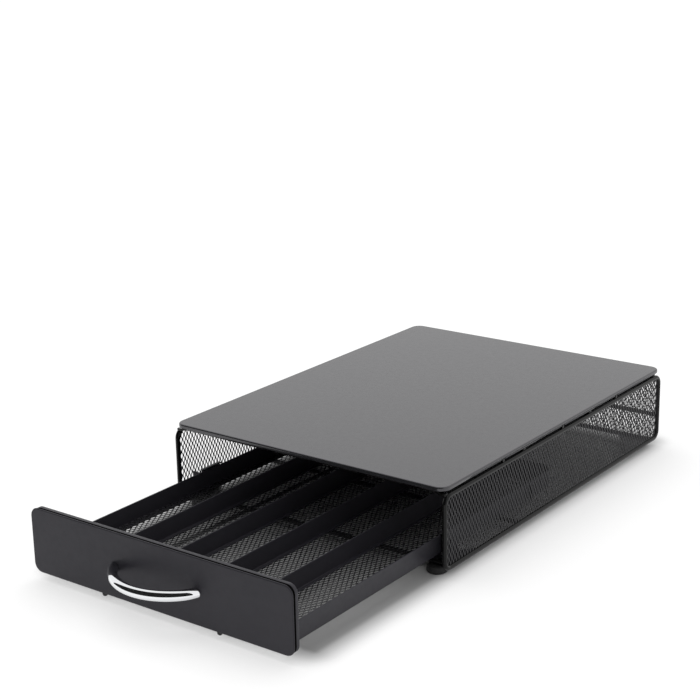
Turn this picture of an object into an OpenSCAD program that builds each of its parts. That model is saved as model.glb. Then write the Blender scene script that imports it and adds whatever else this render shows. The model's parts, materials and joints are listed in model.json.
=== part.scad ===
// Coffee pod drawer: a wire-framed cabinet with a steel top plate and mesh walls, and a
// tray that slides out of its front and holds coffee pods in five lengthwise channels.
// Millimetres, +Z up, +X right, the front faces -Y. The origin is on the table, below
// the middle of the whole object as drawn, with its drawer pulled out.

/* [Cabinet] */
// Width of the top plate
cab_w = 240; // [210:1:300]
// Depth of the top plate
cab_d = 322; // [300:1:380]
// Height of a side frame, over its wires
frame_h = 56; // [54:1:90]
// Outside radius of a side frame's corners
frame_r = 8; // [7:0.5:12]
// Diameter of the frame wire
wire_d = 3.6; // [3:0.1:4.2]
// How far the side frames stand out past the top plate
frame_proud = 1; // [0.2:0.1:1.4]
// How deep welded pieces bite into each other
weld = 0.4; // [0.2:0.1:0.6]

/* [Top plate] */
// Thickness of the plate's sheet
plate_t = 1.6; // [1:0.1:2.2]
// Height of the plate's folded rim
plate_rim = 3.2; // [2.6:0.1:6]
// Corner radius of the plate, seen from above
plate_r = 8; // [4:0.5:16]
// Open gap between the side frames and the rim
plate_gap = 1.6; // [1:0.1:3]
// Front edge of the plate to the middle of the first cross bar
bar_in = 3.8; // [3.6:0.1:5]
// Front edge of the plate to the middle of the second cross bar
bar_2_in = 105; // [80:1:130]
// Spacing of the second and third cross bars
bar_pitch = 98; // [80:1:110]
// Length of a flattened bar end, front to back
tab_l = 4; // [3:0.5:8]
// How far the first bar's ends reach down onto the side frames' bends
tab_drop = 1.6; // [1.2:0.1:2.4]
// Spacing of the spacers between the plate and a side frame
spacer_pitch = 84.4; // [60:0.1:95]
// Length of a spacer, front to back
spacer_l = 2.4; // [1.6:0.1:4]
// Height of the notch in the rim that each spacer stands in
notch_h = 1.5; // [0.5:0.1:1.5]
// Open length of a notch in front of its spacer
notch_l = 2; // [1:0.1:4]

/* [Wire floor and feet] */
// End of the cabinet to the middle of its front and rear rails
rail_in = 11; // [10.5:0.5:16]
// Front edge of the cabinet to the middle bar under the tray
mid_bar_in = 100; // [70:1:140]
// Height of the rear middle rail above the frame's underside
mid_rail_h = 21.5; // [15:0.5:35]
// Leg of a corner gusset along X
gusset_x = 27; // [20:0.5:40]
// Leg of a corner gusset along Y
gusset_y = 37; // [34:0.5:60]
// Thickness of a corner gusset
gusset_t = 1.5; // [1:0.1:2]
// Height of a rubber foot
foot_h = 5; // [4.5:0.1:12]
// Radius of a rubber foot
foot_r = 7.5; // [5:0.1:10]
// Side of the cabinet to the middle of a foot
foot_in = 14; // [12:0.5:20]
// Radius of a foot's rounded edges
foot_edge = 1.2; // [0.5:0.1:2]

/* [Mesh] */
// Thickness of the side and rear mesh sheets
mesh_t = 1; // [0.6:0.1:1.4]
// Width of the bars between the openings of a sheet
mesh_bar = 5; // [3:0.5:6]
// Openings along a side or rear sheet
mesh_cols = 12; // [6:1:12]
// Rows of openings up a side or rear sheet
mesh_rows = 2; // [1:1:3]
// Rows of openings along the tray's floor
floor_rows = 12; // [6:1:12]
// Openings across each channel of the tray's floor
channel_cols = 2; // [1:1:2]

/* [Drawer guides] */
// Sheet thickness of a guide bracket
guide_t = 1.2; // [0.8:0.1:2]
// Length of a guide bracket, front to back
guide_l = 20; // [10:0.5:22]
// Front rail's rear side to the guide bracket
guide_in = 1.2; // [0.5:0.1:3]
// Sideways play between the tray and a guide bracket
guide_gap = 1; // [0.4:0.1:2]
// Play between the top of the tray's walls and a guide bracket's lip
lip_gap = 0.5; // [0.3:0.1:1]
// How far a guide bracket's lip reaches in past the tray wall's inside
lip_over = 0.5; // [0:0.1:1]
// Height of a guide bracket's front flange
flange_h = 17; // [14:0.5:19]
// Radius of a rivet's head
rivet_r = 1.6; // [1.2:0.1:2.5]
// Radius of a rivet's shank
rivet_shank_r = 0.9; // [0.6:0.1:1.1]
// Height of a rivet's head
rivet_h = 0.9; // [0.5:0.1:1.5]
// Height of the rivet above the gusset
rivet_z = 5.5; // [4:0.5:12]

/* [Drawer] */
// How far the drawer is pulled out, as drawn
drawer_open = 152; // [0:1:240]
// Full travel of the drawer, from shut to its stop
drawer_travel = 252; // [245:1:260]
// Space left behind the tray when it is shut
shut_gap = 1.1; // [0.5:0.1:3]
// Gap between the front panel and each side frame
panel_side_gap = 5; // [2:0.1:8]
// Gap between the front panel and the cross bar above it
panel_top_gap = 8.3; // [2:0.1:14]
// Height of the panel's lower edge above the frame's underside
panel_low_gap = 0.6; // [0.4:0.1:2]
// Corner radius of the front panel
panel_r = 6.5; // [4:0.5:10]
// Thickness of the front skin
skin_t = 2; // [1.2:0.1:3]
// Depth of the pan behind the skin
pan_d = 4; // [3:0.1:4.5]
// Sheet thickness of the pan
pan_t = 1.2; // [0.8:0.1:2]
// How far the pan's edge is set in from the skin's
pan_in = 0.4; // [0:0.1:1]
// How far the tray's sides are set in from the panel's ends
tray_in = 5.1; // [4:0.1:8]
// Thickness of the tray's walls
wall_t = 1.2; // [0.8:0.1:1.4]
// Height of the tray's side walls
wall_h = 14.1; // [13:0.1:16]
// Height of the tray's rear wall
rear_wall_h = 17; // [15:0.5:25]
// Radius of the rear wall's upper corners
rear_wall_r = 3.5; // [1:0.5:6]
// Thickness of the tray's mesh floor
floor_t = 1; // [0.6:0.1:1.5]
// Thickness of the channel dividers
divider_t = 1; // [0.6:0.1:1.5]
// Height of the channel dividers
divider_h = 14.5; // [10:0.5:20]
// Diameter of the two runner wires under the tray
runner_d = 3; // [2.4:0.1:4]
// Running gap between the runners and the rails that they slide over
run_gap = 0.3; // [0.2:0.05:0.6]
// Middle of the front panel to a glide button under it
button_x = 50; // [20:1:80]
// Radius of the glide buttons under the front panel
glide_r = 1.9; // [1.2:0.1:1.9]
// How far a glide button hangs below the pan
glide_h = 4.3; // [2:0.1:4.6]
// How far a stop tab stands out from the tray
stop_out = 2; // [1.4:0.1:2.2]
// Height of a stop tab
stop_h = 10; // [6:0.5:12]

/* [Handle] */
// Half the width of the handle where it meets the panel, to the bar's middle
handle_half = 35.5; // [25:0.5:60]
// How far the bar's middle line bows out
handle_bow = 20.6; // [14:0.1:26]
// Diameter of the handle bar
handle_d = 7; // [6:0.1:9]
// How far the handle sits below the middle of the panel
handle_drop = 0.9; // [0:0.1:8]
// Radius of the handle screws
screw_r = 1.2; // [1:0.1:1.4]
// Radius of the handle screws' heads
screw_head_r = 3; // [2.5:0.1:5]
// Height of the handle screws' heads
screw_head_h = 1.6; // [1:0.1:2.5]
// How deep the screws go into the handle
screw_bite = 3; // [2:0.1:3.5]

/* [Hidden] */

$fn = 48;
// Overshoot of a cut past the face that it opens
eps = 0.1;
// Room around a screw in its hole
hole_gap = 0.1;
// Gap that the stop tabs leave at full travel
stop_gap = 0.2;
// Room behind a spacer in its notch
notch_gap = 0.1;
// Pod channels across the tray
channels = 5;

// Y of the cabinet's front edge and of the drawer's front face
handle_reach = handle_bow + handle_d / 2;
front_y = -(cab_d - drawer_open - handle_reach) / 2;
rear_y = front_y + cab_d;
face_y = front_y - drawer_open;

// Heights
frame_z0 = foot_h;
frame_z1 = foot_h + frame_h;
rim_z = frame_z1 + plate_gap;
plate_z1 = rim_z + plate_rim;
bar_d = plate_gap + plate_rim - plate_t + weld;
bar_z = plate_z1 - plate_t - bar_d / 2;
wire_z = frame_z0 + wire_d / 2;
runner_z = frame_z0 + wire_d + run_gap + runner_d / 2;
floor_z0 = runner_z + runner_d / 2 - weld;
floor_z1 = floor_z0 + floor_t;
wall_z1 = floor_z0 + wall_h;
panel_z0 = frame_z0 + panel_low_gap;
panel_z1 = frame_z1 - weld - panel_top_gap;
panel_h = panel_z1 - panel_z0;
gusset_z1 = frame_z0 + gusset_t;

// Widths, from the middle
frame_x = cab_w / 2 + frame_proud - wire_d / 2;
inside_x = frame_x - wire_d / 2;
rail_x = inside_x + weld;
tab_x = cab_w / 2 - plate_t - tab_l / 2;
first_tab_x = cab_w / 2 - plate_r;
panel_w = 2 * (inside_x - panel_side_gap);
tray_x = panel_w / 2 - tray_in;
wall_x = tray_x - wall_t;
guide_x = tray_x + guide_gap;
foot_x = cab_w / 2 + frame_proud - foot_in;

// Places along Y
bend_r = frame_r - wire_d / 2;
front_rail_y = front_y + rail_in;
rear_rail_y = rear_y - rail_in;
mesh_y = rear_y - wire_d / 2;
mid_rail_y = mesh_y - mesh_t / 2 - wire_d / 2;
guide_y = front_rail_y + wire_d / 2 + guide_in;
bar_ys = [front_y + bar_in, front_y + bar_2_in, front_y + bar_2_in + bar_pitch];
spacer_ys = [for (i = [-1:1]) (front_y + rear_y) / 2 + i * spacer_pitch];
web_y = face_y + skin_t + pan_t;
tray_y1 = mid_rail_y - wire_d / 2 - shut_gap - drawer_open;
tray_y0 = tray_y1 - wall_t;
stop_y = guide_y + guide_l + drawer_travel - drawer_open + stop_gap;

// Channel dividers share the tray's inside width
channel_w = (2 * wall_x - (channels - 1) * divider_t) / channels;
channel_pitch = channel_w + divider_t;

// A runner wire keeps clear of the floor's bars that run along it
runner_x = 1.25 * channel_pitch;

// Handle: its bar is an arc, centred behind the panel
handle_r = (pow(handle_half, 2) + pow(handle_bow, 2)) / (2 * handle_bow);
handle_y = face_y - handle_bow + handle_r;
handle_z = (panel_z0 + panel_z1) / 2 - handle_drop;
screw_x = sqrt(pow(handle_r, 2) - pow(handle_y - face_y + screw_bite / 2, 2));

black = [0.09, 0.09, 0.095];
dark_wire = [0.12, 0.12, 0.125];
mesh_grey = [0.2, 0.2, 0.21];
chrome = [0.82, 0.83, 0.85];
rubber = [0.05, 0.05, 0.05];

// ---------------------------------------------------------------- shapes

// A rectangle with round corners, centred on the origin
module round_rect(w, h, r) {
    square([w - 2 * r, h], center = true);
    square([w, h - 2 * r], center = true);
    for (sx = [-1, 1], sy = [-1, 1])
        translate([sx * (w / 2 - r), sy * (h / 2 - r)])
            circle(r = r);
}

// Draws a right-hand piece on the right or, mirrored, on the left
module on_side(left) {
    if (left)
        mirror([1, 0, 0])
            children();
    else
        children();
}

// A straight wire along X, from -half to half
module cross_wire(y, z, half, d) {
    translate([-half, y, z])
        rotate([0, 90, 0])
            cylinder(d = d, h = 2 * half);
}

// A straight wire along Y
module long_wire(x, z, y0, y1, d) {
    translate([x, y1, z])
        rotate([90, 0, 0])
            cylinder(d = d, h = y1 - y0);
}

// A quarter turn of a profile about an axis along X, at y, z and from angle a
module x_bend(y, z, a) {
    translate([0, y, z])
        rotate([a, 0, 0])
            rotate([0, -90, 0])
                rotate_extrude(angle = 90)
                    children();
}

// A plate that stands upright across X, with its outline given in X and Z
module upright(y0, t) {
    translate([0, y0 + t, 0])
        rotate([90, 0, 0])
            linear_extrude(t)
                children();
}

// Pitch of n openings that fill a length and keep a bar at both its ends
function fit_pitch(length, n) = (length - mesh_bar) / n;

// A grid of rectangular openings, centred on the origin
module mesh_openings(cols, rows, pitch_x, pitch_y) {
    for (i = [0:cols - 1], j = [0:rows - 1])
        translate([(i - (cols - 1) / 2) * pitch_x, (j - (rows - 1) / 2) * pitch_y])
            square([pitch_x - mesh_bar, pitch_y - mesh_bar], center = true);
}

// ---------------------------------------------------------------- cabinet

module top_plate() {
    mid_y = (front_y + rear_y) / 2;
    color(black)
        difference() {
            translate([0, mid_y, rim_z])
                linear_extrude(plate_rim)
                    round_rect(cab_w, cab_d, plate_r);
            translate([0, mid_y, rim_z - eps])
                linear_extrude(plate_rim - plate_t + eps)
                    round_rect(cab_w - 2 * plate_t, cab_d - 2 * plate_t, plate_r - plate_t);
            for (y = spacer_ys)
                rim_notches(y);
        }
}

// Notches through the rim on both sides, one over each spacer
module rim_notches(y) {
    length = notch_l + spacer_l + notch_gap;
    translate([-cab_w / 2 - eps, y - spacer_l / 2 - notch_l, rim_z - eps])
        cube([cab_w + 2 * eps, length, notch_h + eps]);
}

// A flat tab on a side frame's wire, from x0 out to the plate's rim
module rim_tab(x0, y, z0, z1, length, side) {
    outer = cab_w / 2 - weld;
    translate([side > 0 ? x0 : -outer, y - length / 2, z0])
        cube([outer - x0, length, z1 - z0]);
}

// A round cross bar under the plate, with both its ends pressed flat
module top_bar(y, end_x, end_z) {
    color(dark_wire) {
        cross_wire(y, bar_z, end_x + tab_l / 4, bar_d);
        for (side = [-1, 1])
            rim_tab(end_x, y, end_z, rim_z, tab_l, side);
    }
}

module plate_spacers() {
    color(dark_wire)
        for (side = [-1, 1], y = spacer_ys)
            rim_tab(tab_x, y, frame_z1 - weld, rim_z + notch_h, spacer_l, side);
}

// A side frame: one closed loop of wire with round corners
module side_frame(left) {
    y0 = front_y + frame_r;
    y1 = rear_y - frame_r;
    z0 = frame_z0 + frame_r;
    z1 = frame_z1 - frame_r;
    color(dark_wire)
        on_side(left) {
            long_wire(frame_x, wire_z, y0, y1, wire_d);
            long_wire(frame_x, frame_z1 - wire_d / 2, y0, y1, wire_d);
            for (y = [front_y + wire_d / 2, rear_y - wire_d / 2])
                translate([frame_x, y, z0])
                    cylinder(d = wire_d, h = z1 - z0);
            translate([frame_x, 0, 0]) {
                x_bend(y1, z1, 0) wire_section();
                x_bend(y0, z1, 90) wire_section();
                x_bend(y0, z0, 180) wire_section();
                x_bend(y1, z0, 270) wire_section();
            }
        }
}

module wire_section() {
    translate([bend_r, 0])
        circle(d = wire_d);
}

// A mesh sheet that fills a side frame
module side_mesh(left) {
    inset = wire_d - weld;
    w = cab_d - 2 * inset;
    h = frame_h - 2 * inset;
    color(mesh_grey)
        on_side(left)
            translate([frame_x - mesh_t / 2, (front_y + rear_y) / 2, (frame_z0 + frame_z1) / 2])
                rotate([90, 0, 90])
                    linear_extrude(mesh_t)
                        difference() {
                            round_rect(w, h, frame_r - inset);
                            mesh_openings(
                                mesh_cols, mesh_rows,
                                fit_pitch(w, mesh_cols), fit_pitch(h, mesh_rows)
                            );
                        }
}

// The rear mesh sheet bends round with the side frames, onto the rear rails
module rear_mesh() {
    y1 = rear_y - frame_r;
    z0 = frame_z0 + frame_r;
    z1 = frame_z1 - frame_r;
    hem_y = rear_rail_y + wire_d / 2 - weld;
    w = 2 * rail_x;
    h = z1 - z0;
    color(mesh_grey) {
        upright(mesh_y - mesh_t / 2, mesh_t)
            translate([0, (z0 + z1) / 2])
                difference() {
                    square([w, h], center = true);
                    mesh_openings(
                        mesh_cols, mesh_rows,
                        fit_pitch(w, mesh_cols), fit_pitch(h, mesh_rows)
                    );
                }
        for (z = [wire_z, frame_z1 - wire_d / 2])
            translate([-rail_x, hem_y, z - mesh_t / 2])
                cube([w, y1 - hem_y, mesh_t]);
        translate([rail_x, 0, 0]) {
            x_bend(y1, z1, 0) sheet_section();
            x_bend(y1, z0, 270) sheet_section();
        }
    }
}

module sheet_section() {
    translate([bend_r - mesh_t / 2, 0])
        square([mesh_t, 2 * rail_x]);
}

module frame_rail(y, z) {
    color(dark_wire)
        cross_wire(y, z, rail_x, wire_d);
}

// A flat triangle welded into a corner of the wire floor
module gusset(left, rear) {
    corner_y = front_rail_y + wire_d / 2 - weld;
    color(black)
        on_side(left)
            translate([0, rear ? front_y + rear_y : 0, frame_z0])
                mirror([0, rear ? 1 : 0, 0])
                    linear_extrude(gusset_t)
                        polygon([
                            [rail_x, corner_y],
                            [rail_x, corner_y + gusset_y],
                            [rail_x - gusset_x, corner_y]
                        ]);
}

// A rubber foot under a rail and its gusset
module foot(left, rear) {
    color(rubber)
        on_side(left)
            translate([foot_x, rear ? rear_rail_y : front_rail_y, 0])
                rotate_extrude() {
                    square([foot_r - foot_edge, foot_h]);
                    translate([0, foot_edge])
                        square([foot_r, foot_h - 2 * foot_edge]);
                    for (z = [foot_edge, foot_h - foot_edge])
                        translate([foot_r - foot_edge, z])
                            circle(r = foot_edge);
                }
}

// A bent bracket on a front gusset: its web guides the tray's side and its lip holds it down
module guide_bracket(left) {
    lip_z = wall_z1 + lip_gap;
    lip_x = wall_x - lip_over;
    flange_x1 = inside_x - weld;
    color(black)
        on_side(left) {
            translate([guide_x, guide_y, gusset_z1])
                cube([guide_t, guide_l, lip_z + guide_t - gusset_z1]);
            translate([lip_x, guide_y, lip_z])
                cube([guide_x + guide_t - lip_x, guide_l, guide_t]);
            translate([guide_x, guide_y, gusset_z1])
                cube([flange_x1 - guide_x, guide_t, flange_h]);
        }
}

module guide_rivets() {
    color(chrome)
        for (side = [-1, 1])
            translate([side * (guide_x + rivet_r), guide_y, gusset_z1 + rivet_z])
                rotate([-90, 0, 0]) {
                    translate([0, 0, -rivet_h])
                        cylinder(r = rivet_r, h = rivet_h);
                    cylinder(r = rivet_shank_r, h = guide_t);
                }
}

// ---------------------------------------------------------------- drawer

module panel_outline(inset) {
    translate([0, (panel_z0 + panel_z1) / 2])
        round_rect(panel_w - 2 * inset, panel_h - 2 * inset, panel_r - inset);
}

// Holes for the two handle screws, through a plate that starts at y0
module handle_holes(y0, t) {
    for (side = [-1, 1])
        translate([side * screw_x, y0 - eps, handle_z])
            rotate([-90, 0, 0])
                cylinder(r = screw_r + hole_gap, h = t + 2 * eps);
}

module drawer_front_skin() {
    color(black)
        difference() {
            upright(face_y, skin_t)
                panel_outline(0);
            handle_holes(face_y, skin_t);
        }
}

// A shallow pan behind the skin, open towards the tray
module drawer_front_pan() {
    pan_y = face_y + skin_t;
    color(black)
        difference() {
            upright(pan_y, pan_d)
                panel_outline(pan_in);
            upright(web_y, pan_d)
                panel_outline(pan_in + pan_t);
            handle_holes(pan_y, pan_t);
        }
}

// A bowed round bar, cut off flat at the panel
module handle() {
    color(chrome)
        intersection() {
            translate([0, handle_y, handle_z])
                rotate([0, 0, 180])
                    rotate_extrude(angle = 180, $fn = 96)
                        translate([handle_r, 0])
                            circle(d = handle_d, $fn = 32);
            translate([-2 * handle_r, face_y - 2 * handle_r, handle_z - handle_d])
                cube([4 * handle_r, 2 * handle_r, 2 * handle_d]);
        }
}

module handle_screws() {
    color(chrome)
        for (side = [-1, 1])
            translate([side * screw_x, web_y, handle_z])
                rotate([90, 0, 0]) {
                    cylinder(r = screw_r, h = skin_t + pan_t + screw_bite);
                    translate([0, 0, -screw_head_h])
                        cylinder(r = screw_head_r, h = screw_head_h);
                }
}

module tray_wall(left) {
    color(black)
        on_side(left)
            translate([wall_x, web_y, floor_z0])
                cube([wall_t, tray_y0 - web_y, wall_h]);
}

module tray_rear_wall() {
    color(black)
        upright(tray_y0, wall_t)
            translate([0, floor_z0]) {
                translate([-tray_x, 0])
                    square([2 * tray_x, rear_wall_h - rear_wall_r]);
                translate([-tray_x + rear_wall_r, 0])
                    square([2 * (tray_x - rear_wall_r), rear_wall_h]);
                for (side = [-1, 1])
                    translate([side * (tray_x - rear_wall_r), rear_wall_h - rear_wall_r])
                        circle(r = rear_wall_r);
            }
}

// The mesh floor keeps a bar under each divider
module tray_floor() {
    floor_l = tray_y0 - web_y;
    color(mesh_grey)
        translate([0, (web_y + tray_y0) / 2, floor_z0])
            linear_extrude(floor_t)
                difference() {
                    square([2 * wall_x, floor_l], center = true);
                    mesh_openings(
                        channels * channel_cols, floor_rows,
                        channel_pitch / channel_cols, fit_pitch(floor_l, floor_rows)
                    );
                }
}

// Divider i stands right of channel i, counted from the left
module divider(i) {
    color(black)
        translate([-wall_x + i * channel_pitch - divider_t, web_y, floor_z1])
            cube([divider_t, tray_y0 - web_y, divider_h]);
}

module runner_wire(left) {
    color(dark_wire)
        on_side(left)
            long_wire(runner_x, runner_z, web_y, tray_y1, runner_d);
}

// A tab that meets the guide bracket's rear edge when the drawer is fully out
module stop_tab(left) {
    color(black)
        on_side(left)
            translate([tray_x, stop_y, floor_z0])
                cube([stop_out, wall_t, stop_h]);
}

// Round-ended buttons under the panel
module glide_buttons() {
    color(rubber)
        for (side = [-1, 1])
            translate([side * button_x, face_y + skin_t + pan_d / 2, panel_z0 + pan_in - glide_h])
                rotate_extrude()
                    intersection() {
                        union() {
                            translate([0, glide_r])
                                circle(r = glide_r);
                            translate([0, glide_r])
                                square([glide_r, glide_h - glide_r]);
                        }
                        square([glide_r, glide_h]);
                    }
}

// ---------------------------------------------------------------- nodes

top_plate();
top_bar(bar_ys[0], first_tab_x, frame_z1 - tab_drop);  // top_bar_1
top_bar(bar_ys[1], tab_x, frame_z1 - weld);  // top_bar_2
top_bar(bar_ys[2], tab_x, frame_z1 - weld);  // top_bar_3
top_bar(rear_rail_y, tab_x, frame_z1 - weld);  // top_bar_4
plate_spacers();
side_frame(true);  // left_side_frame
side_frame(false);  // right_side_frame
side_mesh(true);  // left_side_mesh
side_mesh(false);  // right_side_mesh
rear_mesh();
frame_rail(rear_rail_y, frame_z1 - wire_d / 2);  // rear_top_rail
frame_rail(mid_rail_y, frame_z0 + mid_rail_h);  // rear_mid_rail
frame_rail(rear_rail_y, wire_z);  // rear_bottom_rail
frame_rail(front_rail_y, wire_z);  // front_bottom_rail
frame_rail(front_y + mid_bar_in, wire_z);  // mid_bottom_bar
gusset(true, false);  // gusset_front_left
gusset(false, false);  // gusset_front_right
gusset(true, true);  // gusset_rear_left
gusset(false, true);  // gusset_rear_right
foot(true, false);  // foot_front_left
foot(false, false);  // foot_front_right
foot(true, true);  // foot_rear_left
foot(false, true);  // foot_rear_right
guide_bracket(true);  // left_guide_bracket
guide_bracket(false);  // right_guide_bracket
guide_rivets();
drawer_front_skin();
drawer_front_pan();
handle();
handle_screws();
tray_wall(true);  // left_tray_wall
tray_wall(false);  // right_tray_wall
tray_rear_wall();
tray_floor();
divider(1);  // divider_1
divider(2);  // divider_2
divider(3);  // divider_3
divider(4);  // divider_4
runner_wire(true);  // left_runner_wire
runner_wire(false);  // right_runner_wire
stop_tab(true);  // left_stop_tab
stop_tab(false);  // right_stop_tab
glide_buttons();
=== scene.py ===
"""The looks of a coffee pod drawer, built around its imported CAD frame.

Metres, +Z up, the front faces -Y. Each shape below is a pair (verts, faces), and piece()
turns shapes into an object that stands for one CAD node and rides on that node's body.
"""
import json
import math

import bpy
from mathutils import Matrix, Vector


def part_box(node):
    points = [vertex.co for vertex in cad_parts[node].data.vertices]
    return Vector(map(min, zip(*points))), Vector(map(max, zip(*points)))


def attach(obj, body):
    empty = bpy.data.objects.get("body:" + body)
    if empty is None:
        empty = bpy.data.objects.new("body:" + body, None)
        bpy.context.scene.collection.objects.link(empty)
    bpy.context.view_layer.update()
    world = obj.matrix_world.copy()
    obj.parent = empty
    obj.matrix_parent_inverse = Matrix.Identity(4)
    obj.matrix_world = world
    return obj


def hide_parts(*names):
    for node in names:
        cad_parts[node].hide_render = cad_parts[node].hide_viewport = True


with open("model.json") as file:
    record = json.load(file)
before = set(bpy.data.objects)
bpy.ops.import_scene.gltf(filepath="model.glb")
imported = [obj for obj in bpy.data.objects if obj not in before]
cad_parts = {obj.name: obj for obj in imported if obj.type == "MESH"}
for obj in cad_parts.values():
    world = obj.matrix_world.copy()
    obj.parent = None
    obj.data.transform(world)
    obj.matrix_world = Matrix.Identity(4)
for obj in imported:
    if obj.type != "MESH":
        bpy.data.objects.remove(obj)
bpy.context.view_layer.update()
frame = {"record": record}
record = frame["record"]
MM = 0.001

# ------------------------------------------------------------------ sizes, in metres
WIRE_R = 1.8 * MM
WELD_FLARE = 1.25           # how much wider a weld makes the end of a rail
FRAME_R = 8 * MM            # outside radius of a side frame's corners
PLATE_T = 1.6 * MM
PLATE_R = 8 * MM
PLATE_EDGE = 1.1 * MM       # rounding of the plate's upper edge
RIM_EDGE = 0.8 * MM         # rounding of the rim's lower edge
SPACER_L = 2.4 * MM         # length of a spacer, front to back
NOTCH_L = 2.0 * MM          # open length of the rim's notch in front of it
NOTCH_H = 1.5 * MM
NOTCH_PLAY = 0.1 * MM       # how far the notch goes on behind the spacer
BAR_R = 1.8 * MM            # radius of the cross bars under the plate
TAB_HALF = 1.0 * MM         # half the height of their flat ends
FRONT_STRETCH = 1.5         # how much longer the front bar's flat ends are than the others'
PANEL_R = 6.5 * MM
PAN_R = PANEL_R - 0.4 * MM
SKIN_EDGE = 0.7 * MM        # rounding of the skin's front edge
GROOVE_D = 2.2 * MM         # depth of the groove between the skin and the pan
GROOVE_W = 1.05 * MM        # half its width
GROOVE_EDGE = 0.15 * MM
GROOVE_SHADE_REACH = 1.05 * GROOVE_W       # how far its painted shade goes from the middle: the darker coat stands in for shade in the groove
PAN_T = 1.2 * MM
HANDLE_HALF = 35.5 * MM     # half the handle's width at the panel
HANDLE_SINK = 0.3 * MM      # how far its ends go into the panel
HANDLE_STEPS = 32           # steps from its middle to an end, and round it
SCREW_R = 1.2 * MM
SCREW_L = 4 * MM            # length of a screw without its head
SCREW_HEAD = 1.6 * MM       # height of its head
CROSS_HALF = (0.45 * MM, 1.7 * MM)  # half the width and the length of its cross recess
CROSS_FLOOR = 0.6 * MM      # height of the recess's floor
WALL_T = 1.0 * MM
WALL_TURN = 1.2 * MM        # radius of the bend at a tray wall's foot
WALL_FLANGE = 6 * MM        # flange of a tray wall under the mesh floor
WALL_DROP = 0.1 * MM        # how much lower than the CAD wall its middle line starts
WALL_EDGE = 0.35 * MM
REAR_WALL_R = 3.5 * MM
FLOOR_DROP = 0.45 * MM      # from the top of the mesh floor to the middle of its strands
DIVIDER_T = 0.9 * MM
DIVIDER_TURN = 1.0 * MM
DIVIDER_FLANGE = 3 * MM
GUIDE_T = 1.2 * MM
GUIDE_TURN = 1.6 * MM
GUIDE_GAP = 1.0 * MM        # from a tray wall to its guide bracket
GUIDE_FLANGE = (4 * MM, 17 * MM)    # depth and height of a bracket's front flange
GUIDE_STEP = 1.4 * MM       # from the bracket's front to the start of its web and lip
GUIDE_EDGE = 0.2 * MM
RIVET_HEAD = 0.9 * MM       # height of a rivet's head
RIVET_TAIL = 1.2 * MM
FOOT_EDGE = 1.2 * MM
FOOT_DIMPLE = ((0, 0.5 * MM), (2.6 * MM, 0.5 * MM), (3.2 * MM, 0.1 * MM), (3.6 * MM, 0))
HEM_T = 0.7 * MM            # how far the hem goes in from the inside of a side frame's top wire
HEM_BITE = 0.1 * MM         # how far it goes into the wire
HEM_UP = 0.5 * MM           # how much higher than the wire it reaches
SMALL_EDGE = 0.3 * MM       # rounding of small sheet parts
EDGE_STEPS = 2
EDGE_ANGLE = math.radians(35)       # edges sharper than this are rounded
WIRE_SIDES = 20
CUT_PAST = 1 * MM           # how far a cutting shape reaches past what it cuts

# A cross bar's end: distance from its tip, how flat it is there, and its share of its full size
BAR_MARKS = ((0, 1, 0.8), (0.4 * MM, 1, 1), (2.6 * MM, 1, 1), (3.4 * MM, 0.8, 1),
             (4.6 * MM, 0.3, 1), (5.6 * MM, 0.05, 1), (7 * MM, 0, 1))

# Expanded mesh: wavy strands that meet their neighbours by turns
STRAND_PITCH = 1.79 * MM
STRAND_W = 0.68 * MM
STRAND_T = 0.33 * MM
STRAND_BITE = 0.02 * MM     # how deep two strands go into each other where they meet
MESH_PERIOD = 6.35 * MM     # length of one opening and one bond
BOND = 1.3 * MM             # length over which two strands touch
SIDE_INSET = 1.4 * WIRE_R   # from a side frame's outside to the edge of its mesh
STRAND_TILT = math.radians(-9)
RIGHT_TILT = math.radians(10)       # the right sheet stands with its other face outward


# ------------------------------------------------------------------ shapes
def arc(cx, cy, r, a0, a1, n):
    """n + 1 points on the arc of a circle, with angles in degrees."""
    steps = [math.radians(a0 + (a1 - a0) * i / n) for i in range(n + 1)]
    return [(cx + r * math.cos(a), cy + r * math.sin(a)) for a in steps]


def round_rect(w, h, r, n=8):
    """A closed outline, w by h, centred on the origin, with n steps round each corner."""
    x, y = w / 2 - r, h / 2 - r
    return (arc(x, y, r, 0, 90, n) + arc(-x, y, r, 90, 180, n)
            + arc(-x, -y, r, 180, 270, n) + arc(x, -y, r, 270, 360, n))


def circle(r, n):
    return [(r * math.cos(2 * math.pi * i / n), r * math.sin(2 * math.pi * i / n))
            for i in range(n)]


def squircle(a, b, power, n):
    """An oval with half axes a and b: power 2 is an ellipse, and more is squarer."""
    points = []
    for i in range(n):
        t = 2 * math.pi * (i + 0.5) / n
        c, s = math.cos(t), math.sin(t)
        points.append((a * math.copysign(abs(c) ** (2 / power), c),
                       b * math.copysign(abs(s) ** (2 / power), s)))
    return points


def loft(rings, closed=False, caps=True):
    """Joins rings of as many points each. closed joins the last ring to the first, and caps
    closes an open row's ends."""
    n = len(rings[0])
    verts = [Vector(p) for ring in rings for p in ring]
    faces = []
    spans = len(rings) if closed else len(rings) - 1
    for k in range(spans):
        a, b = k * n, (k + 1) % len(rings) * n
        for i in range(n):
            j = (i + 1) % n
            faces.append((a + i, a + j, b + j, b + i))
    if caps and not closed:
        faces.append(tuple(reversed(range(n))))
        faces.append(tuple(range((len(rings) - 1) * n, len(rings) * n)))
    return verts, faces


def join(*shapes):
    verts, faces = [], []
    for v, f in shapes:
        start = len(verts)
        verts += v
        faces += [tuple(i + start for i in face) for face in f]
    return verts, faces


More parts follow.
